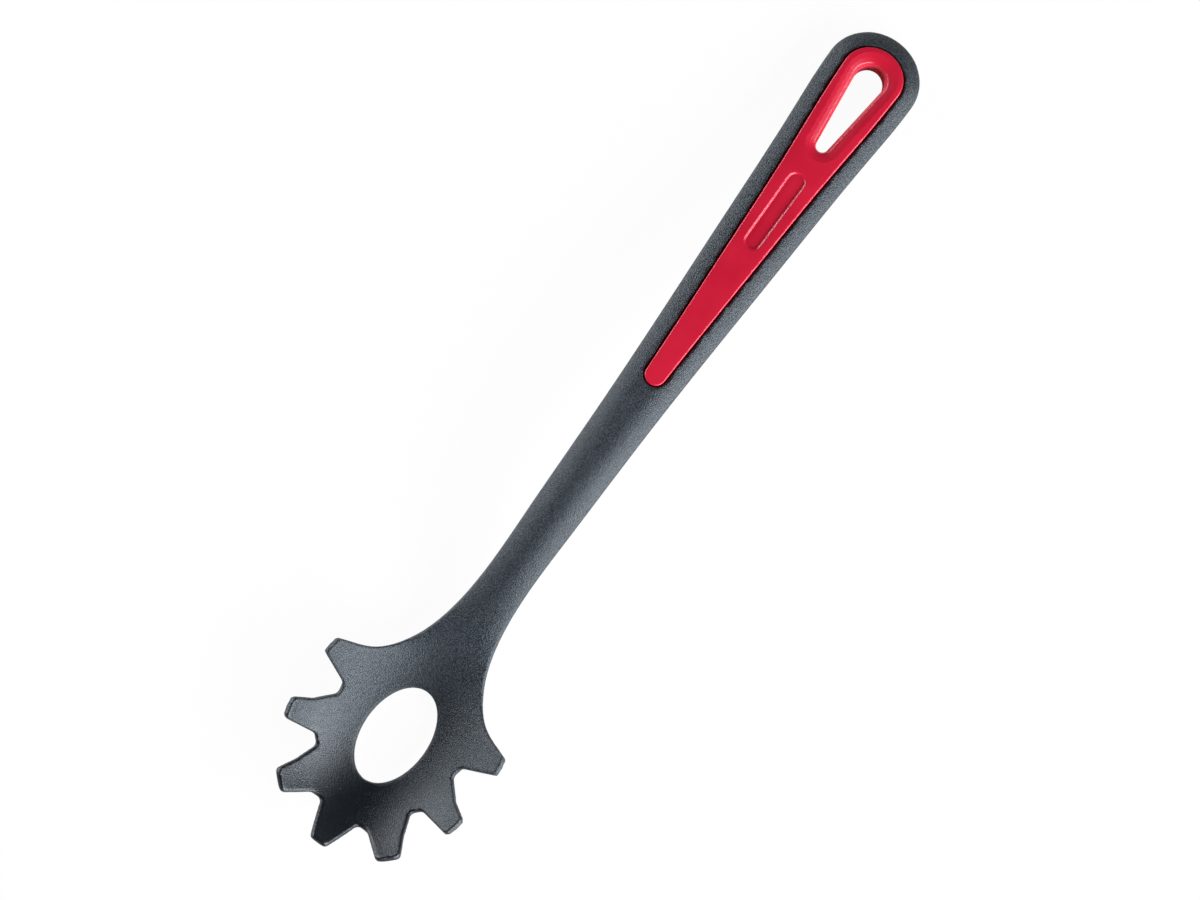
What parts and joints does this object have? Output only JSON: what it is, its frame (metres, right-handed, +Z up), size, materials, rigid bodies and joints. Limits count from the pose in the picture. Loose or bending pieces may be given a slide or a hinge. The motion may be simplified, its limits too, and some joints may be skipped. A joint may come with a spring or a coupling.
{
  "type": "pasta server",
  "caption": "Long-handled pasta server with a toothed, dished head, an oval drain hole and a soft red grip inlay that lines the hanging slot.",
  "frame": {"origin": "middle of the server's overall length and width, at the height of the lowest point of its back", "axes": "+X across the server, +Y along it from the handle's end to the teeth, +Z up out of the bowl, with the server lying on its back"},
  "size_m": [0.0636, 0.2949, 0.0224],
  "materials": {
    "charcoal_nylon": "finely spark-textured glass-filled nylon",
    "red_inlay": "satin soft-touch plastic"
  },
  "bodies": {
    "root": {"server_body": "charcoal_nylon", "grip_inlay": "red_inlay"}
  },
  "joints": []
}
